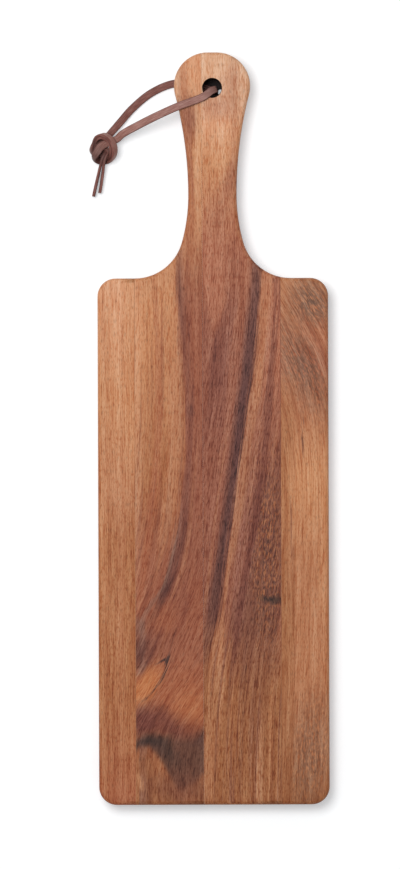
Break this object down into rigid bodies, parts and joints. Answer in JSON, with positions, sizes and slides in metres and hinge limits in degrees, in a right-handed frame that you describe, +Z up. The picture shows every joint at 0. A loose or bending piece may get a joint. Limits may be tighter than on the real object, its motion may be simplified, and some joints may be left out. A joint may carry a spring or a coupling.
{
  "type": "serving board",
  "caption": "Long paddle-shaped serving board of edge-glued hardwood staves, with a waisted handle and a knotted flat leather lace through a hole in its end for hanging.",
  "frame": {"origin": "on the table below the middle of the board", "axes": "+Y along the board towards the end of its handle, +Z up from the table, +X to the right as seen from above"},
  "size_m": [0.1459, 0.4601, 0.0197],
  "materials": {
    "light_hardwood": "oiled, satin",
    "heart_hardwood": "oiled, satin",
    "glue": "hardened wood glue",
    "lace_leather": "matt, dark cut edges"
  },
  "bodies": {
    "board": {"stave_left": "light_hardwood", "stave_inner_left": "heart_hardwood", "stave_inner_right": "heart_hardwood", "stave_right": "light_hardwood", "glue_line_left": "glue", "glue_line_middle": "glue", "glue_line_right": "glue"},
    "lace": {"lace_front_strand": "lace_leather", "lace_back_strand": "lace_leather"}
  },
  "joints": [
    {"name": "lace_swing", "type": "hinge", "parent": "board", "child": "lace", "pos_m": [0, 0.20819, 0.00228], "axis": [0, -0.0052, 1], "range_deg": [-248, 14]}
  ]
}
